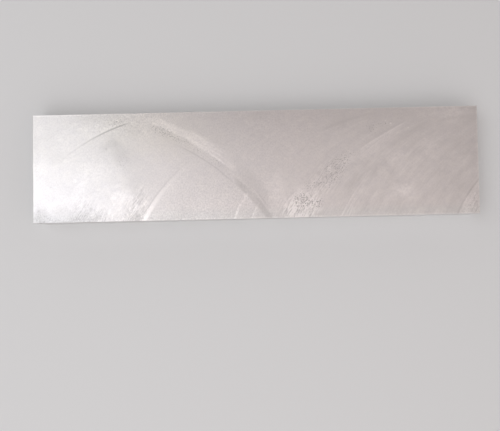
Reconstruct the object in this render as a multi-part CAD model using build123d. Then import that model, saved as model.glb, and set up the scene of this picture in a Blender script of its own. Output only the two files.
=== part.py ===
from build123d import *
import os

# Sawn aluminium flat plate: one piece of plain stock, cut to length with a saw.
# Frame: +X along the length, +Y across the width, +Z up through the thickness.
# The origin is the centre of the bottom face, which lies on the floor.
# Millimetres.

# Driving dimensions
plate_length = 288.0        # along X, sawn end to sawn end, at the back long side
plate_width = 70.0          # along Y
plate_thickness = 18.0      # along Z
end_out_of_square = 0.8     # the saw cut of the +X end runs this much short at the front corner
edge_break = 0.3            # flat left on every edge where the burr was knocked off

# Outline of the broad face: the -X end is square, the +X end is as it was sawn
half_length = plate_length / 2
half_width = plate_width / 2
outline = [
    (-half_length, -half_width),
    (half_length - end_out_of_square, -half_width),
    (half_length, half_width),
    (-half_length, half_width),
]

# The blank, with its bottom face on Z = 0
blank = extrude(make_face(Polyline(outline, close=True)), amount=plate_thickness, dir=(0, 0, 1))

# Every one of the twelve edges has the same small edge break
plate = chamfer(blank.edges(), edge_break)
plate.label = "plate"

os.makedirs("parts", exist_ok=True)
export_step(plate, "parts/plate.step")
print("plate volume mm3", plate.volume, "box", plate.bounding_box())
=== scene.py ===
import math

import bpy
import numpy as np
from mathutils import Matrix, Vector


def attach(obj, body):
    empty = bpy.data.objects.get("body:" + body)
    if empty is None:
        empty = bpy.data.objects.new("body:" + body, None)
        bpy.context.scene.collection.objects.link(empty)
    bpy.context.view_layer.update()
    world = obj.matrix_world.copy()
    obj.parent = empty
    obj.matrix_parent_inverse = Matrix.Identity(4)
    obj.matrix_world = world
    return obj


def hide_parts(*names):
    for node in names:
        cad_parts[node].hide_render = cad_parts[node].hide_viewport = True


# Sawn aluminium plate, 288 x 70 x 18 mm, lying flat and seen from above.
# Metres, in the frame of the CAD model. Inside the surface functions x and y are
# millimetres, x from the plate's left end and y from its front long side.

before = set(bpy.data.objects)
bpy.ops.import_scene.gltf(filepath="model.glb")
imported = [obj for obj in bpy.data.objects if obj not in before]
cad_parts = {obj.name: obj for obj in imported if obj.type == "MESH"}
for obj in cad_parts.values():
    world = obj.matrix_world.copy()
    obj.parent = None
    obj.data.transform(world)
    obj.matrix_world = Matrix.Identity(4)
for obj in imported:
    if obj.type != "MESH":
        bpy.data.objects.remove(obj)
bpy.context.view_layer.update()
scene = bpy.context.scene

# ---------------------------------------------------------------- real sizes, mm
LENGTH = 288.0
WIDTH = 70.0
THICK = 18.0
SKEW = 0.8          # the right-hand cut is this much short at the front corner
EDGE = 0.3          # edge break

# A 256 mm circular saw fed along the plate left its marks: each is part of a
# circle of this radius, centred this far below the front side.
BLADE_R = 128.0
BLADE_Y = -57.0

# ---------------------------------------------------------------- camera
# Solved from the plate's corners: looking down from 0.35 m, 2.6 degrees off the
# vertical, with the plate turned 1.3 degrees in the picture.
CAM_HEIGHT = 0.350052
CAM_TILT = math.radians(-2.5539)
CAM_ROLL = math.radians(0.0019)
PLATE_AT = (0.003973, 0.047983)
PLATE_TURN = 0.02312
FOCAL_PX = 517.5
PICTURE_W = 500.0

turn = Matrix.Rotation(PLATE_TURN, 4, "Z")
place = Matrix.Translation((PLATE_AT[0], PLATE_AT[1], 0.0)) @ turn
look = Matrix.Rotation(CAM_TILT, 4, "X") @ Matrix.Rotation(CAM_ROLL, 4, "Y")
camera_in_world = Matrix.Translation((0.0, 0.0, CAM_HEIGHT)) @ look.transposed()
camera_data = bpy.data.cameras.new("camera")
camera_data.sensor_width = 36.0
camera_data.lens = FOCAL_PX / PICTURE_W * 36.0
camera_data.clip_start = 0.01
camera_data.clip_end = 20.0
camera = bpy.data.objects.new("camera", camera_data)
scene.collection.objects.link(camera)
camera.matrix_world = place.inverted() @ camera_in_world
scene.camera = camera

# ---------------------------------------------------------------- light and floor
scene.view_settings.view_transform = "Standard"
scene.view_settings.look = "None"
scene.view_settings.exposure = 0.0
scene.view_settings.gamma = 1.0

world = bpy.data.worlds.new("soft_light")
scene.world = world
world.use_nodes = True
sky_tree = world.node_tree
sky = sky_tree.nodes["Background"]
way_up = sky_tree.nodes.new("ShaderNodeTexCoord")
way_split = sky_tree.nodes.new("ShaderNodeSeparateXYZ")
sky_ramp = sky_tree.nodes.new("ShaderNodeValToRGB")
sky_ramp.color_ramp.interpolation = "EASE"
sky_ramp.color_ramp.elements.new(0.3)
sky_ramp.color_ramp.elements.new(0.6)
for stop, (at, colour) in zip(sky_ramp.color_ramp.elements, (
    (0.0, (0.60, 0.60, 0.60)),        # level with the floor, and like it
    (0.10, (0.645, 0.638, 0.633)),    # pale all round, low down
    (0.38, (0.645, 0.638, 0.633)),
    (0.72, (0.299, 0.262, 0.253)),    # duller and warmer overhead
)):
    stop.position = at
    stop.color = (*colour, 1.0)
sky_tree.links.new(way_up.outputs["Generated"], way_split.inputs[0])
sky_tree.links.new(way_split.outputs[2], sky_ramp.inputs["Fac"])
sky_tree.links.new(sky_ramp.outputs["Color"], sky.inputs["Color"])
sky.inputs["Strength"].default_value = 1.0


def softbox(name, azimuth, elevation, distance, size, power, colour):
    """A square soft light aimed at the plate. Azimuth 0 is +X, 90 is +Y."""
    a, e = math.radians(azimuth), math.radians(elevation)
    way = Vector((math.cos(a) * math.cos(e), math.sin(a) * math.cos(e), math.sin(e)))
    data = bpy.data.lights.new(name, "AREA")
    data.shape = "RECTANGLE"
    data.size, data.size_y = size
    data.energy = power
    data.color = colour
    ob = bpy.data.objects.new(name, data)
    scene.collection.objects.link(ob)
    ob.location = way * distance
    ob.rotation_mode = "QUATERNION"
    ob.rotation_quaternion = way.to_track_quat("Z", "Y")
    return ob


softbox("key", 205.5, 61.9, 1.1, (1.62, 0.64), 4.91, (0.972, 1.0, 1.03))
softbox("fill", 299.2, 60.8, 1.1, (1.5, 1.5), 3.16, (1.0, 0.885, 0.855))

floor_mesh = bpy.data.meshes.new("floor")
floor_mesh.from_pydata(
    [(-8, -8, 0), (8, -8, 0), (8, 8, 0), (-8, 8, 0)], [], [(0, 1, 2, 3)]
)
floor = bpy.data.objects.new("floor", floor_mesh)
scene.collection.objects.link(floor)
floor_paint = bpy.data.materials.new("floor_paint")
floor_paint.use_nodes = True
floor_tree = floor_paint.node_tree
paint = floor_tree.nodes["Principled BSDF"]
paint.inputs["Roughness"].default_value = 0.9
paint.inputs["Specular IOR Level"].default_value = 0.2
# paler far off and a little lit of itself, where less light falls on it, so that it
# stays even to the horizon
far_place = floor_tree.nodes.new("ShaderNodeTexCoord")
far_off = floor_tree.nodes.new("ShaderNodeVectorMath")
far_off.operation = "LENGTH"
far_ramp = floor_tree.nodes.new("ShaderNodeMapRange")
far_ramp.inputs["From Min"].default_value = 0.3
far_ramp.inputs["From Max"].default_value = 1.6
far_colour = floor_tree.nodes.new("ShaderNodeValToRGB")
far_colour.color_ramp.interpolation = "EASE"
far_colour.color_ramp.elements[0].color = (0.75, 0.765, 0.77, 1.0)
far_colour.color_ramp.elements[1].color = (0.93, 0.945, 0.95, 1.0)
floor_tree.links.new(far_place.outputs["Object"], far_off.inputs[0])
floor_tree.links.new(far_off.outputs["Value"], far_ramp.inputs["Value"])
floor_tree.links.new(far_ramp.outputs["Result"], far_colour.inputs["Fac"])
floor_tree.links.new(far_colour.outputs["Color"], paint.inputs["Base Color"])
lit_ramp = floor_tree.nodes.new("ShaderNodeMapRange")
lit_ramp.inputs["From Min"].default_value = 0.3
lit_ramp.inputs["From Max"].default_value = 2.2
lit_colour = floor_tree.nodes.new("ShaderNodeValToRGB")
lit_colour.color_ramp.interpolation = "EASE"
lit_colour.color_ramp.elements[0].color = (0.0, 0.0, 0.0, 1.0)
lit_colour.color_ramp.elements[1].color = (0.205, 0.21, 0.215, 1.0)
floor_tree.links.new(far_off.outputs["Value"], lit_ramp.inputs["Value"])
floor_tree.links.new(lit_ramp.outputs["Result"], lit_colour.inputs["Fac"])
floor_tree.links.new(lit_colour.outputs["Color"], paint.inputs["Emission Color"])
paint.inputs["Emission Strength"].default_value = 1.0
floor_mesh.materials.append(floor_paint)


# ---------------------------------------------------------------- shader arithmetic
class Field:
    """A number that varies over the surface, as a socket of a shader tree."""

    def __init__(self, pen, socket):
        self.pen, self.socket = pen, socket

    def __add__(self, o):
        return self.pen.math("ADD", self, o)

    __radd__ = __add__

    def __mul__(self, o):
        return self.pen.math("MULTIPLY", self, o)

    __rmul__ = __mul__

    def __sub__(self, o):
        return self.pen.math("SUBTRACT", self, o)

    def __rsub__(self, o):
        return self.pen.math("SUBTRACT", o, self)

    def __truediv__(self, o):
        return self.pen.math("DIVIDE", self, o)

    def __neg__(self):
        return self.pen.math("MULTIPLY", self, -1.0)


class Shapes:
    """Shapes over a surface, from either arithmetic: shader nodes or plain arrays."""

    def apart(self, name, body, *args):
        """body(self, ...), which the shader arithmetic puts in a node group of its own."""
        return body(self, *args)

    def fall(self, x, a, b):
        return 1.0 - self.rise(x, a, b)

    def window(self, x, a, b, soft_a, soft_b=None):
        """1 between a and b, with soft ends of these widths, outside them."""
        soft_b = soft_a if soft_b is None else soft_b
        return self.rise(x, a - soft_a, a) * self.fall(x, b, b + soft_b)

    def line(self, d, width):
        """1 on d = 0, and 0 from width away."""
        return self.fall(self.abs(d), 0.0, width)

    def circle(self, x, y, ring):
        """Distance outwards from a circle (centre x, centre y, radius)."""
        dx, dy = x - ring[0], y - ring[1]
        return self.sqrt(dx * dx + dy * dy) - ring[2]

    def patch(self, x, y, cx, cy, rx, ry, degrees):
        """1 at the middle of a soft oval, and 0 outside it."""
        c, s = math.cos(math.radians(degrees)), math.sin(math.radians(degrees))

        def body(lib, x, y, cx, cy, a, b, c, d):
            dx, dy = x - cx, y - cy
            u, v = dx * a + dy * b, dy * c - dx * d
            return lib.fall(lib.sqrt(u * u + v * v), 0.15, 1.0)

        return self.apart("patch", body, x, y, cx, cy, c / rx, s / rx, c / ry, s / ry)

    def blade(self, x, y, centre_y=BLADE_Y):
        """Which tooth mark a place is on: of those that rise to the right, and that fall."""
        yy = y - centre_y
        reach = self.sqrt(self.max(BLADE_R * BLADE_R - yy * yy, 60.0))
        return x + reach, x - reach


class Sheet(Shapes):
    """The arithmetic on plain arrays, for the shape of the mesh."""

    def sqrt(self, a):
        return np.sqrt(a)

    def abs(self, a):
        return np.abs(a)

    def max(self, a, b):
        return np.maximum(a, b)

    def min(self, a, b):
        return np.minimum(a, b)

    def rise(self, x, a, b):
        t = np.clip((x - a) / (b - a), 0.0, 1.0)
        return t * t * (3.0 - 2.0 * t)

    def ramp(self, x, stops):
        return np.interp(x, [s[0] for s in stops], [s[1] for s in stops])


class Pen(Shapes):
    """Writes shader nodes from arithmetic."""

    def __init__(self, tree):
        self.tree = tree

    def apart(self, name, body, *args):
        tree = bpy.data.node_groups.get(name)
        if tree is None:
            tree = bpy.data.node_groups.new(name, "ShaderNodeTree")
            for k in range(len(args)):
                tree.interface.new_socket("in%d" % k, in_out="INPUT", socket_type="NodeSocketFloat")
            tree.interface.new_socket("out", in_out="OUTPUT", socket_type="NodeSocketFloat")
            pen = Pen(tree)
            start, end = pen.new("NodeGroupInput"), pen.new("NodeGroupOutput")
            made = body(pen, *[Field(pen, s) for s in list(start.outputs)[: len(args)]])
            tree.links.new(made.socket, end.inputs[0])
        n = self.new("ShaderNodeGroup", node_tree=tree)
        for socket, a in zip(n.inputs, args):
            self.put(socket, a)
        return Field(self, n.outputs[0])

    def new(self, kind, **props):
        n = self.tree.nodes.new(kind)
        for k, v in props.items():
            setattr(n, k, v)
        return n

    def put(self, socket, value):
        if isinstance(value, Field):
            self.tree.links.new(value.socket, socket)
        else:
            socket.default_value = value

    def math(self, op, *args):
        n = self.new("ShaderNodeMath", operation=op)
        for socket, a in zip(n.inputs, args):
            self.put(socket, a)
        return Field(self, n.outputs[0])

    def sqrt(self, a):
        return self.math("SQRT", a)

    def abs(self, a):
        return self.math("ABSOLUTE", a)

    def min(self, a, b):
        return self.math("MINIMUM", a, b)

    def max(self, a, b):
        return self.math("MAXIMUM", a, b)

    def rise(self, x, a, b):
        """0 below a and 1 above b, smooth between."""
        n = self.new("ShaderNodeMapRange", interpolation_type="SMOOTHSTEP")
        self.put(n.inputs["Value"], x)
        self.put(n.inputs["From Min"], a)
        self.put(n.inputs["From Max"], b)
        return Field(self, n.outputs["Result"])

    def ramp(self, x, stops):
        """Straight lines between stops (x, value), level beyond the first and last."""
        x0, x1 = stops[0][0], stops[-1][0]
        low = min(v for _, v in stops)
        high = max(v for _, v in stops)
        # a node is made after those that feed it, which keeps the shader small enough to compile
        place = self.math("MULTIPLY_ADD", x, 1.0 / (x1 - x0), -x0 / (x1 - x0))
        n = self.new("ShaderNodeValToRGB")
        ramp = n.color_ramp
        ramp.interpolation = "LINEAR"
        while len(ramp.elements) < len(stops):
            ramp.elements.new(0.5)
        for e, (at, v) in zip(list(ramp.elements), stops):
            e.position = (at - x0) / (x1 - x0)
        for e, (at, v) in zip(list(ramp.elements), stops):
            g = (v - low) / (high - low)
            e.color = (g, g, g, 1.0)
        self.put(n.inputs["Fac"], place)
        return self.math("MULTIPLY_ADD", Field(self, n.outputs["Color"]), high - low, low)

    def vector(self, x, y, z=0.0):
        n = self.new("ShaderNodeCombineXYZ")
        for socket, a in zip(n.inputs, (x, y, z)):
            self.put(socket, a)
        return n.outputs[0]

    def noise(self, x, y, z=0.0, detail=2.0, rough=0.5):
        """About -1 to 1 and 0 on average."""
        place = self.vector(x, y, z)
        n = self.new("ShaderNodeTexNoise", noise_dimensions="3D")
        self.tree.links.new(place, n.inputs["Vector"])
        n.inputs["Scale"].default_value = 1.0
        n.inputs["Detail"].default_value = detail
        n.inputs["Roughness"].default_value = rough
        return self.math("MULTIPLY_ADD", Field(self, n.outputs[0]), 2.0, -1.0)

    def specks(self, x, y, z, share):
        """Scattered uneven specks: 1 in a speck. More and larger ones as share goes from 0 to 1."""
        n = self.noise(x, y, z, 1.0, 0.6)
        edge = 0.36 - share * 0.32
        return self.rise(n, edge, edge + 0.12) * self.rise(share, 0.02, 0.2)


def through(p, q, r):
    """The circle through three points."""
    (ax, ay), (bx, by), (cx, cy) = p, q, r
    d = 2 * (ax * (by - cy) + bx * (cy - ay) + cx * (ay - by))
    a2, b2, c2 = ax * ax + ay * ay, bx * bx + by * by, cx * cx + cy * cy
    ux = (a2 * (by - cy) + b2 * (cy - ay) + c2 * (ay - by)) / d
    uy = (a2 * (cx - bx) + b2 * (ax - cx) + c2 * (bx - ax)) / d
    return ux, uy, math.hypot(ax - ux, ay - uy)


def stripe(half, soft=0.0):
    return [(-half, 0.0), (-half * soft - 0.01, 1.0), (half * soft + 0.01, 1.0), (half, 0.0)]


# ---------------------------------------------------------------- marks of the saw
# Each: its circle; its course across, (distance outwards, share); its course along,
# (x or y, change of tone); that axis; relief in mm for a tone change of 1; and
# whether the relief is in the mesh (broad marks) or in the bump (fine ones).
DEEP, FINE = True, False
FALLING = (37.1, -70.1, 131.4)      # the dark falling line
BRIGHT = (19.2, -94.7, 167.2)       # lower edge of the broad bright band
STREAK = (165.9, -48.2, 107.3)      # the bright streak, lower left
STEP = (346.0, -158.5, 243.0)       # the step right of the middle
MARKS = (
    # long dark groove, upper left
    ((98.2, -56.6, 126.0), [(-1.2, 0), (-0.5, -1), (0.2, 0), (0.75, 0.2), (1.7, 0)],
     [(15, 0), (20, 0.05), (30, 0.11), (38, 0.21), (46, 0.36), (57, 0.37), (61, 0.24), (64, 0)],
     "x", 0.1, DEEP),
    # falling line, and the dark band that it ends in
    (FALLING, [(-1.0, 0), (-0.25, -1), (0.5, 0)],
     [(94, 0), (99, 0.12), (118, 0.13), (126, 0.12), (130, 0.03), (132, 0)], "x", 0.1, DEEP),
    (FALLING, [(0.4, 0), (2.4, -1), (4.2, -0.8), (5.4, 0)],
     [(108, 0), (114, 0.012), (126, 0.02), (130, 0.03), (134, 0)], "x", 0.08, DEEP),
    (through((132.0, 20.8), (138.9, 13.9), (149.3, 1.2)), [(-0.6, 0), (0.6, -1), (3.0, -0.9), (4.3, 0)],
     [(129.6, 0), (132, 0.13), (133.5, 0.16), (136, 0.15), (138.5, 0.12), (142, 0.13), (147, 0.15), (154, 0.16)], "x", 0.12, DEEP),
    (through((138.0, 24.5), (143.5, 18.0), (154.5, 3)), [(-3.8, 0), (-1.5, -1), (4.0, -0.7), (8.0, 0)],
     [(128, 0), (133, 0.07), (140, 0.1), (146, 0.1), (150, 0.055), (153, 0.0)], "x", 0.1, DEEP),
    (through((142.0, 18.2), (146.2, 12.8), (150.2, 6.0)), stripe(0.45),
     [(140.5, 0), (142.5, 0.1), (149, 0.1), (151.5, 0)], "x", 0.05, FINE),
    (through((142.9, 18.9), (147.2, 13.3), (151.1, 6.6)), stripe(0.45),
     [(142, 0), (144.5, -0.05), (149, -0.06), (152, 0)], "x", 0.05, FINE),
    # broad bright falling band
    (BRIGHT, [(-0.3, 0), (0.9, 1), (1.9, 0.82), (4.5, 0.74), (6.1, 0)],
     [(67, 0), (75, 0.035), (82, 0.115), (90, 0.155), (98, 0.165), (107, 0)], "x", 0.06, DEEP),
    (BRIGHT, [(-1.3, 0), (0.0, 1), (2.0, 0.82), (5.6, 0.72), (7.6, 0)],
     [(98, 0), (107, 0.155), (113, 0.15), (121, 0.09), (127, 0.035), (132, 0)], "x", 0.06, DEEP),
    (BRIGHT, [(-0.9, 0), (-0.1, 1), (0.5, 0.0), (1.0, -0.9), (1.6, 0)],
     [(112, 0), (116, 0.06), (122, 0.075), (125, 0)], "x", 0.05, FINE),
    # bright streak, lower left
    (STREAK, [(-3.1, 0), (-1.8, 1), (-0.2, 0.85), (0.3, 0.35), (0.75, 0)],
     [(69, 0.32), (75, 0.29), (78, 0.175), (81, 0.12), (84, 0.085), (88, 0.055), (94, 0.035), (101, 0)], "x", 0.04, DEEP),
    (STREAK, [(-0.4, 0), (0.6, -1), (1.6, 0)],
     [(71, 0.02), (74, 0.09), (82, 0.115), (90, 0.065), (98, 0.035), (105, 0)], "x", 0.1, DEEP),
    (STREAK, [(1.2, 0), (2.0, 1), (2.8, 0)],
     [(71, 0.05), (76, 0.03), (80, 0)], "x", 0.04, FINE),
    # step, right of the middle
    (STEP, [(-9, 0), (-5, 0.45), (-0.9, 1), (-0.1, 0)],
     [(198, 0), (204, 0.03), (210, 0.04), (212, 0.1), (231, 0.095), (238, 0.04), (244, 0.0)], "x", 0.12, DEEP),
    (STEP, [(-1.4, 0), (-0.6, 1), (-0.1, 0), (0.4, -0.8), (1.6, 0)],
     [(209, 0), (212, 0.055), (238, 0.06), (243, 0)], "x", 0.05, FINE),
    # two short bright strokes at the front edge, and the light wedge by the second
    (through((129.6, 0), (132.8, 8), (137.5, 15)), stripe(1.1, 0.2),
     [(129, 0.23), (131.8, 0.23), (133.2, 0.11), (136, 0.13), (138.5, 0.07), (140, 0)], "x", 0.05, FINE),
    (through((136.2, 16), (139.0, 12.5), (142.0, 8.0)), [(-3.0, 0), (-0.9, 0.7), (0, 1), (0.5, 0)],
     [(135, 0), (137, 0.06), (140.5, 0.05), (143, 0)], "x", 0.05, FINE),
    (through((140.8, 0), (142.1, 4), (144.6, 8.5)), [(-3.0, 0), (-0.7, 0.4), (0, 1), (0.8, 0)],
     [(140.0, 0.2), (142.5, 0.15), (146.5, 0)], "x", 0.05, FINE),
    # bundle of bright lines
    (through((198, 0), (205, 12), (225, 37)), stripe(0.8),
     [(197, 0.15), (203, 0.11), (208, 0.055), (214, 0.055), (222, 0)], "x", 0.05, FINE),
    (through((200.5, 0), (206.7, 11), (222, 31)), stripe(0.5),
     [(200, 0.11), (207, 0.085), (212, 0.04), (218, 0)], "x", 0.05, FINE),
    (through((203, 0), (208, 11), (215, 19)), stripe(0.6),
     [(202, 0.12), (208, 0.075), (213, 0)], "x", 0.05, FINE),
    (through((212, 0), (219, 12), (229, 23)), stripe(0.9),
     [(211, 0.04), (220, 0.04), (231, 0)], "x", 0.05, FINE),
    (through((237, 26), (243, 31), (250, 36)), stripe(0.7),
     [(233, 0), (238, 0.04), (248, 0.035), (252, 0)], "x", 0.05, FINE),
    (through((206, 27), (216, 38), (229, 48)), stripe(1.3, 0.2),
     [(203, 0), (209, 0.025), (224, 0.03), (232, 0)], "x", 0.05, FINE),
    # soft dark arcs, right part
    (through((196, 4), (205, 22), (221, 39)), stripe(2.2),
     [(199, 0), (207, -0.035), (217, -0.035), (223, 0)], "x", 0.12, DEEP),
    (through((230, 45), (245, 54), (262, 59.5)), stripe(2.6, 0.1),
     [(227, 0), (234, -0.03), (248, -0.04), (262, 0)], "x", 0.12, DEEP),
    (through((262, 60.5), (275, 62.6), (286, 63.6)), stripe(1.7, 0.2),
     [(259, 0), (266, -0.05), (284, -0.035), (288, -0.02)], "x", 0.15, DEEP),
    (through((188, 56.5), (200, 61.3), (222, 66.5)), stripe(1.3, 0.1),
     [(185, 0), (191, -0.04), (204, -0.035), (217, -0.035), (224, 0)], "x", 0.1, FINE),
    (through((188, 54.5), (200, 59.3), (218, 64.0)), stripe(1.0),
     [(185, 0), (191, 0.025), (208, 0.02), (219, 0)], "x", 0.1, FINE),
    # dark line at the lower right corner, lighter on its right
    (through((273.1, 1.2), (279.7, 12.5), (286.5, 21.3)), [(-10, 0.3), (-2, 0.6), (-0.9, 0.4), (-0.1, -1), (0.8, 0)],
     [(271, 0.0), (273.5, 0.12), (279, 0.135), (288, 0.1)], "x", 0.1, DEEP),
    (through((281.5, 2), (283.5, 5), (286, 9)), stripe(0.7),
     [(280.5, 0), (282, -0.07), (285, -0.07), (288, 0)], "x", 0.1, FINE),
    # faint lines at the upper left
    (through((9, 53.5), (14, 56.8), (21, 60)), [(-1.3, 0), (-0.7, 0.7), (0, -1), (0.7, 0)],
     [(8, 0), (11, 0.045), (14.5, 0.055), (17, 0)], "x", 0.06, FINE),
    (through((22, 60.2), (26, 62.4), (31.5, 64.5)), stripe(0.8),
     [(21, 0), (25, 0.035), (29, 0.035), (33, 0)], "x", 0.06, FINE),
    (through((33, 16.5), (38, 19), (45, 19.6)), stripe(0.7),
     [(31.5, 0), (34, -0.035), (44, -0.035), (46.5, 0)], "x", 0.08, FINE),
    (through((64, 22.4), (69, 20.3), (73, 18.6)), stripe(0.7),
     [(63, 0), (66, -0.04), (71, -0.04), (74, 0)], "x", 0.08, FINE),
    # uneven edge of the bright area at the left: a swath of the saw, and painted shade that shapes the edge of the
    # light's highlight
    (through((46, 62), (55, 35), (69, 5)), [(-24, 0), (-3.5, -1), (2.5, 0)],
     [(0, 0.02), (8, 0.04), (24, 0.06), (45, 0.065), (57, 0.03), (63, 0)], "y", 0.02, DEEP),
)


# The face below isn't seen in the photo. Its marks are like those above, in other places.
BELOW = (
    ((210.0, -60.0, 128.0), [(-1.1, 0), (-0.3, -1), (0.3, 0), (0.9, 0.25), (1.8, 0)],
     [(150, 0), (160, 0.08), (185, 0.16), (210, 0.2), (226, 0.12), (234, 0)], "x", 0.1, DEEP),
    ((34.0, -64.0, 130.0), [(-0.9, 0), (-0.2, -1), (0.5, 0)],
     [(96, 0), (104, 0.09), (130, 0.11), (152, 0.05), (160, 0)], "x", 0.1, DEEP),
    ((8.0, -84.0, 160.0), [(-0.4, 0), (0.8, 1), (3.8, 0.75), (5.8, 0)],
     [(70, 0), (88, 0.09), (112, 0.12), (134, 0.07), (150, 0)], "x", 0.06, DEEP),
    ((330.0, -146.0, 232.0), [(-9, 0), (-4, 0.5), (-0.8, 1), (0.0, 0), (0.6, -0.5), (2.0, 0)],
     [(196, 0), (208, 0.06), (240, 0.09), (262, 0)], "x", 0.12, DEEP),
    ((150.0, -50.0, 112.0), [(-2.4, 0), (-1.0, 1), (-0.2, 0.6), (0.4, -0.5), (1.2, 0)],
     [(40, 0.1), (48, 0.14), (62, 0.09), (84, 0.04), (96, 0)], "x", 0.06, DEEP),
    ((120.0, 190.0, 150.0), stripe(0.8),
     [(60, 0), (74, -0.05), (118, -0.06), (150, 0)], "x", 0.1, FINE),
    ((252.0, 176.0, 140.0), stripe(1.0, 0.1),
     [(214, 0), (226, 0.05), (262, 0.06), (280, 0)], "x", 0.05, FINE),
)


def saw_marks(lib, x, y, deep, fine, uneven=1.0, marks=MARKS, name="mark"):
    """Tone factor of all the marks, and the relief in mm of the deep or the fine ones."""
    tone, relief = 1.0, 0.0
    for k, (ring, across, along, axis, scale, broad) in enumerate(marks):

        def body(lib, x, y):
            r = lib.circle(x, y, ring)
            return lib.ramp(r, across) * lib.ramp(x if axis == "x" else y, along)

        share = lib.apart("%s %d" % (name, k), body, x, y)
        tone = tone * (1.0 + share * uneven)
        if (broad and deep) or (not broad and fine):
            relief = relief + share * scale
    return tone, relief


# Dull and bright areas of the face, partly the metal's own uneven tone and partly painted highlight, shade and
# reflection: centre, half lengths, turn in degrees, tone.
TONE_AND_PAINTED_LIGHT_PATCHES = (
    (98, 35, 75, 60, 0, -0.025),
    (34, 57, 15, 6, 20, 0.03),
    (40, 33, 15, 9, 0, 0.06),
    (56, 15, 10, 9, 70, 0.1),
    (50, 50.5, 10, 6, 25, -0.075),
    (57, 45, 13, 9, -50, -0.055),
    (58, 32, 9, 7, -50, 0.035),
    (0, 50, 6, 26, 0, -0.07),
    (0, 14, 4, 12, 0, -0.05),
    (16, 42, 13, 7, 15, -0.06),
    (46, 46.5, 5, 4, 0, -0.05),
    (31, 25, 9, 9, 0, 0.05),
    (52, 24.5, 5, 4, 0, -0.03),
    (62, 17, 6, 5, 0, 0.04),
    (33, 8, 8, 5, 20, -0.06),
    (52, 7, 9, 5, 0, 0.05),
    (93, 50, 20, 6, -30, -0.03),
    (98, 6, 10, 7, 0, -0.03),
    (50, 23, 16, 15, 0, 0.03),
    (132, 32, 9, 7, -30, 0.03),
    (146, 67, 12, 4, 0, -0.03),
    (54, 40, 6, 4, -20, -0.02),
    (95, 12, 17, 12, 0, -0.04),
    (110, 46, 26, 9, -35, 0.015),
    (18, 2, 40, 11, 0, -0.15),
    (3, 3, 9, 9, 20, -0.16),
    (287, 1, 10, 8, 0, -0.05),
    (20, 0, 26, 4.5, 0, -0.11),
    (38, 1, 15, 5, 0, -0.08),
    (67, 0, 5, 6, 0, -0.16),
    (92, 1, 18, 5, 0, -0.06),
    (46, 68, 26, 6, 0, -0.05),
    (64, 59, 12, 7, 0, -0.05),
    (8, 52, 12, 14, 0, -0.05),
    (8, 20, 24, 18, 0, -0.035),
    (173, 11, 22, 12, 30, 0.05),
    (173, 5, 18, 13, 25, 0.1),
    (182, 14, 9, 2.6, 52, 0.05),
    (192, 23, 10, 2.8, 48, 0.04),
    (157, 20, 9, 13, 0, 0.06),
    (148, 11, 7, 10, -50, -0.035),
    (157, 10, 5, 6, 0, 0.03),
    (169, 5, 8, 6, 40, 0.03),
    (5, 11, 9, 7, 0, -0.06),
    (24, 10, 10, 6, 0, -0.03),
    (171, 17, 6, 5, 0, 0.05),
    (240, 15, 13, 8, 0, 0.085),
    (217, 47, 8, 5, 35, 0.035),
    (230, 42, 6, 5, 0, 0.02),
    (258, 42, 10, 9, 0, 0.04),
    (236, 35, 14, 8, 35, 0.06),
    (270, 30, 10, 6, 10, 0.03),
    (209, 22, 15, 7, 42, -0.045),
    (218, 30, 7, 7, 0, -0.04),
    (222, 17, 6, 5, 0, -0.03),
    (234.3, 22, 2.2, 1.8, 0, -0.06),
    (281, 17, 9, 9, 0, -0.045),
    (285, 37, 6, 9, 0, -0.03),
    (196, 59.5, 15, 5, 15, -0.045),
    (278, 44, 14, 9, 0, -0.05),
    (252, 58, 10, 4.5, 15, -0.04),
    (272, 66, 17, 7, 0, 0.10),
    (255, 67, 12, 5, 0, 0.03),
    (205, 38, 5, 3, 30, 0.03),
    (240, 1, 60, 4, 0, 0.025),
    (53.5, 64.5, 1.6, 1.2, 40, -0.14),
    (57.2, 64.3, 1.0, 0.9, 0, -0.1),
    (56.5, 36.5, 1.0, 0.8, 60, -0.12),
    (47.4, 47.0, 1.2, 1.5, 0, -0.11),
    (11.5, 23, 1.3, 0.8, -40, -0.08),
    (16, 24.6, 0.9, 0.7, 0, -0.07),
    (23, 18, 1.1, 0.7, 20, -0.07),
    (34.8, 24.3, 0.9, 0.7, 0, -0.06),
    (60.5, 23.8, 0.9, 0.7, 0, -0.1),
    (46.5, 17, 1.0, 0.7, 0, -0.06),
    (50.4, 37.6, 0.8, 0.6, 0, -0.06),
    (24.3, 64.3, 0.9, 0.6, 0, -0.06),
    (219, 56.5, 2.4, 3.6, 10, -0.05),
    (159, 62.5, 3.0, 0.9, -10, -0.05),
    (148, 65, 4.0, 0.9, -35, -0.04),
    (231.7, 59.6, 0.9, 0.8, 0, 0.25),
    (228.3, 61.3, 0.8, 0.6, 0, 0.12),
    (243.0, 56.6, 0.8, 0.7, 0, 0.16),
    (111, 67.8, 4.0, 1.2, 0, 0.07),
    (97.2, 49.6, 0.8, 0.7, 0, 0.14),
    (136.4, 20.6, 3.6, 1.9, -42, -0.06),
    (139.6, 16.4, 2.4, 1.5, -48, -0.05),
    (99.6, 50.6, 2.0, 0.6, -30, -0.06),
    (134.5, 23.2, 1.3, 0.9, 0, -0.06),
    (29, 30.6, 0.9, 0.5, 0, -0.06),
    (84, 65.5, 8, 3, -20, 0.02),
)


def painted_edge_highlight(lib, x, y):
    """A painted highlight along the edges of the face, where the burr catches the light, as a change of tone."""
    right_x = (LENGTH - SKEW) + y * (SKEW / WIDTH)

    def near(d):
        return lib.window(d, 0.15, 0.6, 0.1, 0.5)

    front = near(y) * lib.ramp(x, [(0, 0.03), (60, 0.05), (105, 0.05), (107, 0.12), (143, 0.12), (147, 0.07), (288, 0.07)])
    back = near(WIDTH - y) * lib.ramp(x, [(0, 0.12), (28, 0.14), (34, 0.06), (70, 0.06), (110, 0.03), (236, 0.03), (244, 0.07), (288, 0.07)])
    left = near(x) * 0.03
    right = near(right_x - x) * 0.05
    return lib.max(lib.max(front, back), lib.max(left, right))


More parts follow.
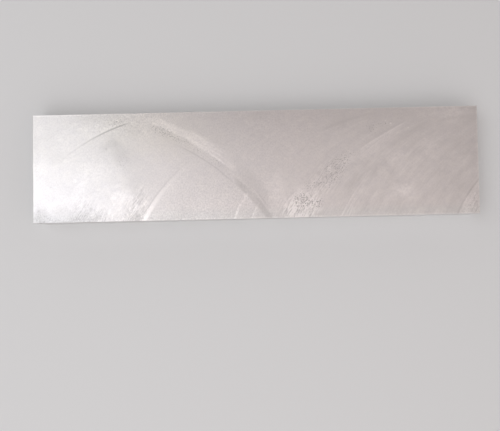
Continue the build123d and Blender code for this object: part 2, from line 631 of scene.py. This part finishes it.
# ---------------------------------------------------------------- materials
TINT = (1.0, 0.985, 0.975)


def start_material(name):
    m = bpy.data.materials.new(name)
    m.use_nodes = True
    tree = m.node_tree
    p = tree.nodes["Principled BSDF"]
    p.inputs["Metallic"].default_value = 1.0
    pen = Pen(tree)
    coords = pen.new("ShaderNodeTexCoord")
    split = pen.new("ShaderNodeSeparateXYZ")
    tree.links.new(coords.outputs["Object"], split.inputs[0])
    x = pen.math("MULTIPLY_ADD", Field(pen, split.outputs[0]), 1000.0, LENGTH / 2)
    y = pen.math("MULTIPLY_ADD", Field(pen, split.outputs[1]), 1000.0, WIDTH / 2)
    z = Field(pen, split.outputs[2]) * 1000.0
    return m, pen, p, x, y, z


def end_material(pen, p, tone, rough, height, warm, cold=0.0):
    """tone is the grey factor, rough the roughness, height the fine relief in mm, warm how
    far the colour leans to yellow or blue, about -1 to 1, and cold how much red it lacks."""
    tree = pen.tree
    colour = pen.vector(TINT[0] + warm * 0.006 - cold, TINT[1] + warm * 0.004, TINT[2] - warm * 0.012)
    mix = pen.new("ShaderNodeVectorMath", operation="SCALE")
    tree.links.new(colour, mix.inputs[0])
    pen.put(mix.inputs["Scale"], pen.min(tone, 1.0))
    tree.links.new(mix.outputs[0], p.inputs["Base Color"])
    pen.put(p.inputs["Roughness"], pen.max(pen.min(rough, 0.9), 0.2))
    bump = pen.new("ShaderNodeBump")
    bump.inputs["Strength"].default_value = 1.0
    bump.inputs["Distance"].default_value = 0.001
    pen.put(bump.inputs["Height"], height)
    tree.links.new(bump.outputs[0], p.inputs["Normal"])


def painted_light_falloff(x, y):
    """Painted light: a gradual change of tone over the whole top face, from end to end and across, standing in for how
    the light falls on it.
    """
    u, v = (x - 144.0) / 144.0, (y - 35.0) / 35.0
    uu = u * u
    light_falloff = 0.9908 + u * 0.0447 + uu * 0.0285 - uu * u * 0.1021 + uu * uu * 0.0251
    return light_falloff - v * 0.0079 + u * v * 0.0341 - uu * v * 0.049 - v * v * 0.005


def broad_face_material():
    m, pen, p, x, y, z = start_material("sawn_face")
    up, down = pen.blade(x, y)

    speckle = pen.noise(x * 1.15, y * 0.85, 7.0, 2.0, 0.65)
    lumps = pen.noise(x * 0.42, y * 0.42, 12.0, 3.0, 0.65)
    mottle = pen.noise(x * 0.16, y * 0.16, 17.0, 3.0, 0.6)
    sway = pen.noise(x * 0.16, y * 0.16, 31.0, 3.0, 0.6)

    # the marks, with frayed outlines and broken up
    fx, fy = x + speckle * 0.2 + lumps * 0.2, y + lumps * 0.25 - speckle * 0.15
    tone, height = saw_marks(pen, fx, fy, False, True, 1.0 + speckle * 0.5 + lumps * 0.45)
    # painted highlight along the edges of the face
    tone = tone * (1.0 + painted_edge_highlight(pen, x, y) * (1.0 + lumps))

    # dull and bright areas, partly the metal's own tone and partly painted highlight, shade and reflection, their
    # outlines made uneven
    wx, wy = x + mottle * 6.0 + lumps * 1.5, y + sway * 6.0 - lumps * 1.5
    for cx, cy, rx, ry, turn_by, change in TONE_AND_PAINTED_LIGHT_PATCHES:
        far = rx > 2.5
        area = pen.patch(wx if far else fx, wy if far else fy, cx, cy, rx, ry, turn_by)
        tone = tone * (1.0 + area * (1.0 + lumps * 1.2 if far else 1.0) * change)
    # painted light: the face lighter or darker from end to end and across, as the light falls
    tone = tone * painted_light_falloff(x, y)
    # darker towards the back, over the middle towards the back, at the front of the right end, and along the front
    # edge left of the middle
    tone = tone * (1.0 - pen.rise(y, 57.0, 69.0) * 0.022)
    tone = tone * (1.0 - pen.rise(y, 40.0, 62.0) * pen.window(x, 85.0, 228.0, 30.0) * 0.03)
    tone = tone * (1.0 - pen.rise(x, 254.0, 272.0) * pen.fall(y, 22.0, 44.0) * 0.03)
    tone = tone * (1.0 - pen.fall(y, 2.0, 10.0) * pen.fall(x, 150.0, 165.0) * 0.03)

    # where the grain is coarse
    lower_left = pen.patch(x, y, 48, 2, 40, 18, 0)
    strokes = pen.patch(x, y, 67, 8, 11, 20, -20) * 1.3 + pen.patch(x, y, 32, 8, 10, 11, 0) + pen.patch(x, y, 43, 4, 8, 9, 0)
    foot = pen.patch(x, y, 172, 5, 18, 15, 0) * 1.3
    among_pits = pen.patch(x, y, 189, 25, 24, 12, 47)
    corner = pen.patch(x, y, 283, 4, 12, 16, 0)
    lower_edge = pen.fall(y, 1.0, 8.0) * pen.fall(x, 60.0, 125.0)
    lower_mid = pen.patch(x, y, 112, 2, 66, 38, 0)
    upper_left = pen.patch(x, y, 60, 68, 46, 20, 0)
    left = pen.fall(x, 140.0, 215.0)
    right = pen.rise(x, 165.0, 215.0) * pen.fall(y, 40.0, 70.0)
    lines = pen.patch(x, y, 208, 9, 20, 17, 25)
    # the bright streak itself is smooth
    calm = 1.0 - pen.window(pen.circle(x, y, STREAK), -2.4, -0.3, 0.7, 0.6) * pen.window(x, 69, 84, 3) * 0.65

    # grain that follows the teeth, rising and falling, and what lies between
    rising = pen.noise(up * 0.8, y * 0.16, x * 0.06, 3.0, 0.65)
    falling = pen.noise(down * 0.7, y * 0.14, x * 0.06 + 40.0, 2.0, 0.6)
    broad = pen.noise(up * 0.17, y * 0.07, x * 0.04 + 9.0, 2.0, 0.5)
    dashes = pen.noise(up * 1.0, y * 0.3, x * 0.08 + 60.0, 1.0, 0.5)
    tone = tone * (1.0 + rising * calm * (
        0.045 + lower_left * 0.1 + strokes * 0.25 + foot * 0.3 + right * 0.025 + corner * 0.18 + lines * 0.08))
    tone = tone * (1.0 + dashes * calm * (strokes * 0.31 + foot * 0.52 + among_pits * 0.37))
    tone = tone * (1.0 + falling * calm * (0.03 + strokes * 0.12))
    tone = tone * (1.0 + speckle * calm * (
        0.07 + left * 0.07 + lower_mid * 0.18 + upper_left * 0.2 + lower_edge * 0.19 + corner * 0.12))
    tone = tone * (1.0 + lumps * calm * (
        0.05 + left * 0.04 + lower_mid * 0.06 + upper_left * 0.14 + lower_edge * 0.2 + right * 0.01))
    tone = tone * (1.0 + mottle * (0.05 + right * 0.015))
    tone = tone * (1.0 + broad * (0.02 + right * 0.075))

    # fine lines along the broad bright band
    under = pen.circle(x, y, BRIGHT)
    along = pen.noise(under * 1.1, x * 0.12, 23.0, 2.0, 0.6)
    tone = tone * (1.0 + along * (pen.window(under, -1.0, 5.5, 3.0, 2.0) * pen.window(x, 76, 128, 8) * 0.1))

    # pitted places: below the broad bright band, and rising from the front edge
    upper = pen.patch(fx, fy, 86, 56.3, 11, 4.6, -27) * 1.3 + pen.patch(fx, fy, 79, 60, 8, 3.8, -20) * 0.7
    upper = upper + pen.patch(fx, fy, 97, 50.5, 9, 3.8, -33) * 0.7 + pen.patch(fx, fy, 117, 37, 8, 3.6, -40) * 0.6
    upper = upper + pen.patch(fx, fy, 107, 44, 12, 3.4, -36) * 0.45
    lower = pen.min(pen.patch(fx, fy, 173.2, 10.6, 9.5, 7.4, 20) * 1.5 + pen.patch(fx, fy, 182.3, 8.8, 6.3, 4.8, 20) * 1.4, 1.0)
    middle = pen.patch(fx, fy, 180, 20.5, 11, 5.5, 15) * 0.9 + pen.patch(fx, fy, 194, 28.5, 16, 10, 50) * 1.2
    middle = pen.min(middle + pen.patch(fx, fy, 201, 37, 13, 6, 45) * 0.9, 1.0)
    others = pen.patch(fx, fy, 219, 57, 6, 6, 20) * 0.5 + pen.patch(fx, fy, 55, 64, 11, 5, 0) * 0.7
    others = others + pen.patch(fx, fy, 227, 59, 7, 3, 0) * 0.4 + pen.patch(fx, fy, 58, 38, 9, 10, 0) * 0.35
    share = pen.min(upper + lower + middle * 0.75 + others, 1.0)
    holes = pen.specks(x * 1.15, y * 1.15, 3.0, share)
    chips = pen.specks(x * 1.05 + 50.0, y * 0.9, 8.0, pen.min(lower + middle * 0.5 + upper * 0.4, 1.0) * 0.8)
    tone = tone * (1.0 - holes * (0.26 + lower * 0.16)) * (1.0 + chips * (0.07 + lower * 0.08))
    height = height - holes * 0.02

    # dark flecks by the front edge at the left, and white ones at the foot of the pits
    fleck_area = pen.patch(x, y, 33, 0, 18, 12, 0) + pen.patch(x, y, 64, 0, 9, 14, 0) + pen.patch(x, y, 6, 0, 12, 9, 0)
    flecks = pen.specks(up * 1.3, y * 0.8, 14.0, pen.min(fleck_area * 1.2, 1.0))
    whites = pen.specks(up * 1.0, y * 0.35, 19.0, pen.patch(x, y, 172, 4, 15, 14, 20) * 1.1 + pen.patch(x, y, 283, 6, 9, 12, 0) * 0.6)
    tone = tone * (1.0 - flecks * 0.14) * (1.0 + whites * 0.15)

    height = height + rising * 0.004 + falling * 0.003 + speckle * 0.003
    rough = 0.447 + rising * 0.02 + lumps * 0.02 + holes * 0.05
    # the colour leans a little yellower at the upper left, bluer at the lower left, and redder from there on; along
    # the front edge it lacks red, a painted reflection
    warm = mottle + lumps * 0.6 + pen.patch(wx, wy, 76, 58, 62, 26, -8) * 1.9 - pen.patch(wx, wy, 18, 12, 62, 34, 0) * 1.2
    cold = pen.fall(y, 2.0, 9.0) * (pen.rise(x, 55.0, 90.0) * 0.024 + pen.fall(x, 20.0, 50.0) * 0.012)
    cold = cold - pen.rise(x, 45.0, 85.0) * 0.018 + pen.rise(x, 165.0, 215.0) * 0.01
    end_material(pen, p, 0.787 * tone, rough, height, warm, cold)
    return m


def side_material():
    """The long sides: cut by the same saw, lying lower, so its marks cross them aslant."""
    m, pen, p, x, y, z = start_material("sawn_side")
    up, down = pen.blade(x, z, -95.0)
    mottle = pen.noise(x * 0.12, z * 0.12, y * 0.1, 3.0, 0.6)
    grain = pen.noise(up * 0.9, z * 0.08, y * 0.1, 3.0, 0.65)
    teeth = pen.noise(up * 2.6, z * 0.1, y * 0.1 + 5.0, 1.0, 0.5)
    broad = pen.noise(up * 0.12, z * 0.03, y * 0.1 + 9.0, 2.0, 0.5)
    fine = pen.noise(x * 1.2, z * 1.2, y * 0.1 + 2.0, 2.0, 0.65)
    cuts = pen.rise(pen.noise(up * 0.55, z * 0.06, y * 0.1 + 14.0, 1.0, 0.5), 0.22, 0.5)
    tone = 0.755 * (1.0 + grain * 0.17 + teeth * 0.11 + broad * 0.17 + mottle * 0.13 + fine * 0.08)
    tone = tone * (1.0 - cuts * (0.1 + mottle * 0.08))
    # places along the two long edges made lighter and smoother: wear, and a painted highlight; and small dents
    worn_and_edge_highlight = pen.max(pen.rise(z, 15.2, 17.8), pen.fall(z, 0.4, 2.4)) * pen.rise(mottle + fine * 0.5, -0.1, 0.25)
    dents = pen.specks(x * 0.55, z * 0.75, y * 0.1 + 21.0, pen.rise(mottle, 0.02, 0.3) * 0.45)
    tone = tone * (1.0 + worn_and_edge_highlight * 0.07) * (1.0 - dents * 0.16)
    height = grain * 0.013 + teeth * 0.008 + fine * 0.004 - cuts * 0.014 - dents * 0.02
    end_material(pen, p, tone, 0.44 + grain * 0.08 + mottle * 0.08 + cuts * 0.05 - worn_and_edge_highlight * 0.04, height, mottle)
    return m


def end_face_material():
    """The two ends, where the plate was cut to length."""
    m, pen, p, x, y, z = start_material("sawn_end")
    up, down = pen.blade(y, z, -100.0)
    mottle = pen.noise(y * 0.14, z * 0.14, x * 0.1, 3.0, 0.6)
    grain = pen.noise(up * 0.9, z * 0.08, x * 0.05, 3.0, 0.65)
    teeth = pen.noise(up * 2.6, z * 0.1, x * 0.05, 1.0, 0.5)
    fine = pen.noise(y * 1.2, z * 1.2, x * 0.05 + 2.0, 2.0, 0.65)
    cuts = pen.rise(pen.noise(up * 0.5, z * 0.06, x * 0.05 + 14.0, 1.0, 0.5), 0.18, 0.45)
    broad = pen.noise(up * 0.14, z * 0.03, x * 0.05 + 9.0, 2.0, 0.5)
    tone = 0.74 * (1.0 + grain * 0.18 + teeth * 0.12 + broad * 0.14 + mottle * 0.12 + fine * 0.08)
    tone = tone * (1.0 - cuts * (0.12 + mottle * 0.08))
    dents = pen.specks(y * 0.6, z * 0.7, x * 0.1 + 25.0, pen.rise(mottle, 0.02, 0.3) * 0.4)
    tone = tone * (1.0 - dents * 0.15)
    height = grain * 0.014 + teeth * 0.008 + fine * 0.004 - cuts * 0.016 - dents * 0.02
    end_material(pen, p, tone, 0.46 + grain * 0.07 + mottle * 0.07 + cuts * 0.05, height, mottle)
    return m


def bottom_material():
    """The face below: the same saw, dulled by what it has lain on."""
    m, pen, p, x, y, z = start_material("sawn_bottom")
    up, down = pen.blade(x, y, -50.0)
    speckle = pen.noise(x * 1.15, y * 0.85, 57.0, 2.0, 0.65)
    lumps = pen.noise(x * 0.42, y * 0.42, 62.0, 3.0, 0.65)
    mottle = pen.noise(x * 0.14, y * 0.14, 70.0, 3.0, 0.6)
    rising = pen.noise(up * 0.8, y * 0.15, x * 0.06 + 50.0, 3.0, 0.65)
    falling = pen.noise(down * 0.7, y * 0.13, x * 0.06 + 80.0, 2.0, 0.6)
    broad = pen.noise(down * 0.14, y * 0.05, 60.0, 2.0, 0.5)
    fx, fy = x + speckle * 0.2 + lumps * 0.2, y + lumps * 0.25 - speckle * 0.15
    tone, height = saw_marks(pen, fx, fy, False, True, 1.0 + lumps * 0.6, BELOW, "mark below")
    coarse = pen.patch(fx, fy, 214, 58, 46, 16, -10) + pen.patch(fx, fy, 66, 12, 30, 15, 0)
    tone = tone * (1.0 + rising * (0.07 + coarse * 0.12)) * (1.0 + falling * 0.07)
    tone = tone * (1.0 + broad * 0.08) * (1.0 + mottle * 0.12)
    tone = tone * (1.0 + speckle * (0.08 + coarse * 0.1)) * (1.0 + lumps * 0.08)
    share = pen.patch(fx, fy, 176, 40, 24, 10, 35) * 0.8 + pen.patch(fx, fy, 40, 56, 18, 8, 0) * 0.5
    holes = pen.specks(x * 1.15, y * 1.15, 53.0, share)
    tone = tone * (1.0 - holes * 0.22)
    # thin scratches from being slid about
    slid = pen.rise(pen.noise(x * 0.05 + y * 0.02, y * 1.6 - x * 0.35, 5.0, 1.0, 0.5), 0.36, 0.46)
    slid = slid * pen.rise(mottle, 0.0, 0.2)
    tone = tone * (1.0 + slid * 0.1)
    height = height + rising * 0.006 + falling * 0.004 + speckle * 0.003 - holes * 0.02 - slid * 0.004
    rough = 0.46 + mottle * 0.05 + lumps * 0.03 + holes * 0.05
    end_material(pen, p, 0.765 * tone, rough, height, mottle + lumps * 0.5)
    return m


def edge_material():
    """The broken edges: worn smooth, and lighter than the faces as a painted highlight."""
    m, pen, p, x, y, z = start_material("edge_break")
    grain = pen.noise(x * 0.8, y * 0.8, z * 0.8, 3.0, 0.6)
    end_material(pen, p, 0.84 * (1.0 + grain * 0.06), 0.4 + grain * 0.05, grain * 0.006, grain)
    return m


# ---------------------------------------------------------------- the mesh
NX, NY = 560, 136       # cells of the top face


def wave(n, seed):
    """A smooth random line through n values, read at any place from 0 to n - 1."""
    v = np.random.default_rng(seed).normal(size=n + 4)

    def read(t):
        t = np.clip(np.asarray(t, float) % (n - 1), 0, n - 1.001)
        i = t.astype(int)
        f = t - i
        a, b, c, d = v[i], v[i + 1], v[i + 2], v[i + 3]
        return b + 0.5 * f * (
            c - a + f * (2 * a - 5 * b + 4 * c - d + f * (3 * (b - c) + d - a))
        )

    return read


sheet = Sheet()
teeth_up, teeth_down, teeth_side = wave(220, 1), wave(220, 2), wave(300, 3)
edge_waves = [wave(400, 10 + k) for k in range(8)]
corner_waves = [wave(120, 30 + k) for k in range(4)]


def top_relief(x, y):
    """How far the top face lies below its highest level, in mm, at x, y in mm."""
    tone, relief = saw_marks(sheet, x, y, deep=True, fine=False)
    up, down = sheet.blade(x, y)
    relief = relief + 0.003 * teeth_up(up / 2.6) + 0.002 * teeth_down((down + 200) / 2.9)
    relief = relief + 0.006 * teeth_up(up / 13.0 + 60) + 0.004 * teeth_down((down + 200) / 17.0 + 60)
    return np.maximum(0.045 - relief, 0.0)


def bottom_relief(x, y):
    """How far the bottom face lies above its lowest level, in mm."""
    tone, marks = saw_marks(sheet, x, y, True, False, 1.0, BELOW)
    up, down = sheet.blade(x, y, -50.0)
    relief = 0.004 * teeth_up(up / 3.0 + 90) + 0.005 * teeth_down((down + 200) / 3.3 + 30)
    relief = relief + 0.006 * teeth_down((down + 200) / 14.0 + 10)
    return np.maximum(0.03 + relief - marks, 0.0)


def side_relief(t, z, shift, low):
    """How far a side wall lies inside the plate's outline, in mm."""
    up, down = sheet.blade(t, z, low)
    relief = 0.005 * teeth_side(up / 2.4 + shift) + 0.006 * teeth_side(up / 11.0 + shift + 100)
    return np.maximum(0.012 + relief, 0.0)


# Nicks and burrs of the top edges: side (0 front, 1 right, 2 back, 3 left), place and
# half width in mm along it, and how deep they go.
NICKS = (
    (0, 2.4, 0.8, 0.16), (0, 4.2, 0.7, 0.22), (0, 5.0, 0.9, 0.42), (0, 9.0, 1.6, 0.08), (0, 31.0, 1.2, 0.1),
    (0, 106.6, 0.8, 0.26), (0, 108.0, 0.6, 0.12), (0, 144.6, 0.9, 0.26), (0, 146.2, 0.6, 0.14),
    (0, 190.0, 0.7, 0.15), (0, 262.0, 0.9, 0.12),
    (2, 59.0, 1.0, 0.15), (2, 65.8, 2.2, 0.35), (2, 71.0, 1.0, 0.32), (2, 92.0, 2.0, 0.12),
    (2, 175.0, 0.8, 0.25), (2, 231.0, 1.2, 0.12), (1, 20.0, 1.2, 0.12), (1, 47.0, 0.9, 0.15),
    (3, 12.0, 1.0, 0.15), (3, 52.0, 1.4, 0.12),
)


def broken(side, t):
    """How wide the break of a top edge is, in mm, along one side."""
    out = 0.17 + 0.03 * edge_waves[side](t / 1.7 + 5) + 0.025 * edge_waves[side + 4](t / 9.0 + 5)
    out = np.clip(out, 0.1, 0.3)
    for s, at, half, deep in NICKS:
        if s == side:
            rough = 1.0 + 0.35 * edge_waves[side](np.asarray(t, float) / 0.55 + 20)
            out = out + deep * sheet.line(np.asarray(t, float) - at, half) * np.clip(rough, 0.3, 1.5)
    return np.clip(out, 0.1, 0.75)


TOP, BOTTOM, FRONT, RIGHT, BACK, LEFT = range(6)    # charts of the texture atlas
FACE, SIDE, END, BASE, BREAK = range(5)             # materials


def build_plate():
    """The plate as one closed mesh: a fine grid on top, walls, and a coarser grid below."""
    hx, hy = LENGTH / 2, WIDTH / 2
    verts, faces, chart, paint_of = [], [], [], []
    count = 0

    def right_end(y):
        return hx - SKEW * (hy - y) / WIDTH

    def add(points):
        nonlocal count
        verts.append(points)
        found = np.arange(count, count + len(points))
        count += len(points)
        return found

    def face(ids, c, m):
        faces.append([int(i) for i in ids])
        chart.append(c)
        paint_of.append(m)

    # top grid, inside the edge break
    u, v = np.linspace(0, 1, NX + 1), np.linspace(0, 1, NY + 1)
    U, V = np.meshgrid(u, v, indexing="ij")
    x_at, y_at = U * LENGTH, V * WIDTH
    front, back = broken(0, x_at), broken(2, x_at)
    Y = -hy + front + V * (WIDTH - front - back)
    left, right = -hx + broken(3, y_at), right_end(Y) - broken(1, y_at)
    X = left + U * (right - left)
    Z = THICK - top_relief(X + hx, Y + hy)
    ids = add(np.stack([X, Y, Z], -1).reshape(-1, 3)).reshape(NX + 1, NY + 1)
    for q in np.stack([ids[:-1, :-1], ids[1:, :-1], ids[1:, 1:], ids[:-1, 1:]], -1).reshape(-1, 4):
        face(q, TOP, FACE)

    def ring(nx, ny, z, drop=False):
        """A loop round the plate at this level, with its four corners cut off."""
        s, t = np.linspace(0, 1, nx + 1), np.linspace(0, 1, ny + 1)
        # front left, front right, back right, back left
        cut = [np.clip(0.21 + 0.035 * corner_waves[k](z / 1.3 + 9) + 0.03 * corner_waves[k](z / 5.0 + 40), 0.12, 0.3)
               for k in range(4)]

        def level(side, along):
            """Level, and the distance in from the outline, of this side."""
            if drop:
                b = broken(side, along)
                return THICK - np.clip(b * 1.05, 0.0, 0.9), np.clip(b - 0.28, 0.0, 0.5)
            low = {0: -95.0, 2: -95.0}.get(side, -100.0)
            return np.full(along.shape, z), side_relief(along, z, 20.0 * side, low)

        def run(a, b, f):
            return a + f * (b - a)

        zf, inf = level(0, s * LENGTH)
        front = np.stack([run(-hx + cut[0], right_end(-hy) - cut[1], s), -hy + inf, zf], -1)
        y = run(-hy + cut[1], hy - cut[2], t)
        zr, inr = level(1, t * WIDTH)
        rightside = np.stack([np.minimum(right_end(y) - inr, hx - SKEW * EDGE / WIDTH), y, zr], -1)
        zb, inb = level(2, s * LENGTH)
        back = np.stack([run(-hx + cut[3], right_end(hy) - cut[2], s), hy - inb, zb], -1)[::-1]
        y = run(-hy + cut[0], hy - cut[3], t)
        zl, inl = level(3, t * WIDTH)
        leftside = np.stack([-hx + inl, y, zl], -1)[::-1]
        return np.concatenate([front, rightside, back, leftside])

    def sides(loop, nx, ny):
        """The loop's four sides, each with both its ends."""
        a, b, c = nx + 1, nx + 1 + ny + 1, 2 * (nx + 1) + ny + 1
        return loop[:a], loop[a:b], loop[b:c], loop[c:]

    # top edge break
    loop = add(ring(NX, NY, THICK, drop=True))
    edge_of_top = (ids[:, 0], ids[-1, :], ids[::-1, -1], ids[0, ::-1])
    for k, (inner, outer) in enumerate(zip(edge_of_top, sides(loop, NX, NY))):
        for i in range(len(inner) - 1):
            face([outer[i], outer[i + 1], inner[i + 1], inner[i]], TOP, BREAK)
        following = sides(loop, NX, NY)[(k + 1) % 4]
        face([outer[-1], following[0], inner[-1]], TOP, BREAK)

    WALL = (FRONT, RIGHT, BACK, LEFT)
    WALL_PAINT = (SIDE, END, SIDE, END)

    def halve(a, b, c, m):
        """Joins a row a of 2n cells to a row b of n cells below it."""
        for i in range(len(b) - 1):
            face([b[i], a[2 * i + 1], a[2 * i]], c, m)
            face([b[i], b[i + 1], a[2 * i + 1]], c, m)
            face([b[i + 1], a[2 * i + 2], a[2 * i + 1]], c, m)

    def corners(above, below, nxa, nya, nxb, nyb):
        sa, sb = sides(above, nxa, nya), sides(below, nxb, nyb)
        for k in range(4):
            c = (RIGHT, RIGHT, LEFT, LEFT)[k]
            face([sb[k][-1], sb[(k + 1) % 4][0], sa[(k + 1) % 4][0], sa[k][-1]], c, BREAK)

    nx, ny = NX // 2, NY // 2
    levels = np.linspace(THICK - 1.3, EDGE, 17)
    low = add(ring(nx, ny, levels[0]))
    for k, (a, b) in enumerate(zip(sides(loop, NX, NY), sides(low, nx, ny))):
        halve(a, b, WALL[k], WALL_PAINT[k])
    corners(loop, low, NX, NY, nx, ny)
    loop = low
    for z in levels[1:]:
        low = add(ring(nx, ny, z))
        for k, (a, b) in enumerate(zip(sides(loop, nx, ny), sides(low, nx, ny))):
            for i in range(len(b) - 1):
                face([b[i], b[i + 1], a[i + 1], a[i]], WALL[k], WALL_PAINT[k])
        corners(loop, low, nx, ny, nx, ny)
        loop = low

    # bottom grid, and the edge break that joins it
    bx, by = nx // 2, ny // 2
    U, V = np.meshgrid(np.linspace(0, 1, bx + 1), np.linspace(0, 1, by + 1), indexing="ij")
    Y = -hy + EDGE + V * (WIDTH - 2 * EDGE)
    left, right = -hx + EDGE, right_end(Y) - EDGE
    X = left + U * (right - left)
    Z = bottom_relief(X + hx, Y + hy)
    bottom = add(np.stack([X, Y, Z], -1).reshape(-1, 3)).reshape(bx + 1, by + 1)
    for q in np.stack([bottom[:-1, :-1], bottom[:-1, 1:], bottom[1:, 1:], bottom[1:, :-1]], -1).reshape(-1, 4):
        face(q, BOTTOM, BASE)
    edge_of_bottom = (bottom[:, 0], bottom[-1, :], bottom[::-1, -1], bottom[0, ::-1])
    lows = sides(loop, nx, ny)
    for k, (inner, outer) in enumerate(zip(edge_of_bottom, lows)):
        halve(outer, inner, BOTTOM, BREAK)
        face([lows[(k + 1) % 4][0], outer[-1], inner[-1]], BOTTOM, BREAK)

    points = np.concatenate(verts)
    mesh = bpy.data.meshes.new("sawn_plate")
    mesh.from_pydata((points * 0.001).tolist(), [], faces)
    for maker in (broad_face_material, side_material, end_face_material, bottom_material, edge_material):
        mesh.materials.append(maker())
    mesh.polygons.foreach_set("use_smooth", np.ones(len(faces), bool))
    mesh.polygons.foreach_set("material_index", np.array(paint_of, np.int32))
    mesh.update(calc_edges=True)

    # hard edges where the material changes
    n_loops = len(mesh.loops)
    edge_of, corner_of = np.zeros(n_loops, np.int32), np.zeros(n_loops, np.int32)
    mesh.loops.foreach_get("edge_index", edge_of)
    mesh.loops.foreach_get("vertex_index", corner_of)
    totals = np.zeros(len(faces), np.int32)
    mesh.polygons.foreach_get("loop_total", totals)
    paint_at = np.repeat(np.array(paint_of), totals)
    low_paint = np.full(len(mesh.edges), 99)
    high_paint = np.full(len(mesh.edges), -1)
    np.minimum.at(low_paint, edge_of, paint_at)
    np.maximum.at(high_paint, edge_of, paint_at)
    hard = mesh.attributes.new("sharp_edge", "BOOLEAN", "EDGE")
    hard.data.foreach_set("value", low_paint != high_paint)

    # texture atlas: every chart flat and at real scale, in texels of a 1024 map
    chart_at = np.repeat(np.array(chart), totals)
    corner = points[corner_of] + (hx, hy, 0.0)
    cx, cy, cz = corner.T
    face_of = np.repeat(np.arange(len(faces)), totals)
    middle = np.zeros(len(faces))
    np.add.at(middle, face_of, cx)
    right_half = (middle / totals)[face_of] > LENGTH / 2
    half_x = cx - right_half * LENGTH / 2
    a, b = np.zeros(n_loops), np.zeros(n_loops)
    sel = chart_at == TOP
    a[sel], b[sel] = (8 + 5.0 * half_x)[sel], (8 + 366 * right_half + 5.0 * cy)[sel]
    sel = chart_at == BOTTOM
    a[sel], b[sel] = (748 + 3.45 * cy)[sel], (12 + 3.45 * cx)[sel]
    for k, c in enumerate((FRONT, BACK)):
        sel = chart_at == c
        row = 2 * k + right_half
        a[sel], b[sel] = (8 + 3.7 * half_x)[sel], (742 + 71 * row + 3.6 * cz)[sel]
    for k, c in enumerate((RIGHT, LEFT)):
        sel = chart_at == c
        a[sel], b[sel] = (560 + 78 * k + 3.7 * cz)[sel], (744 + 3.7 * cy)[sel]
    bake_map = mesh.uv_layers.new(name="OFBake")
    bake_map.data.foreach_set("uv", np.stack([a / 1024, b / 1024], -1).ravel().astype(np.float32))

    mesh.validate()
    ob = bpy.data.objects.new("sawn_plate", mesh)
    scene.collection.objects.link(ob)
    return ob


plate = build_plate()
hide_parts("plate")
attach(plate, "root")

plate.data.calc_loop_triangles()
print("PLATE triangles", len(plate.data.loop_triangles), "vertices", len(plate.data.vertices))
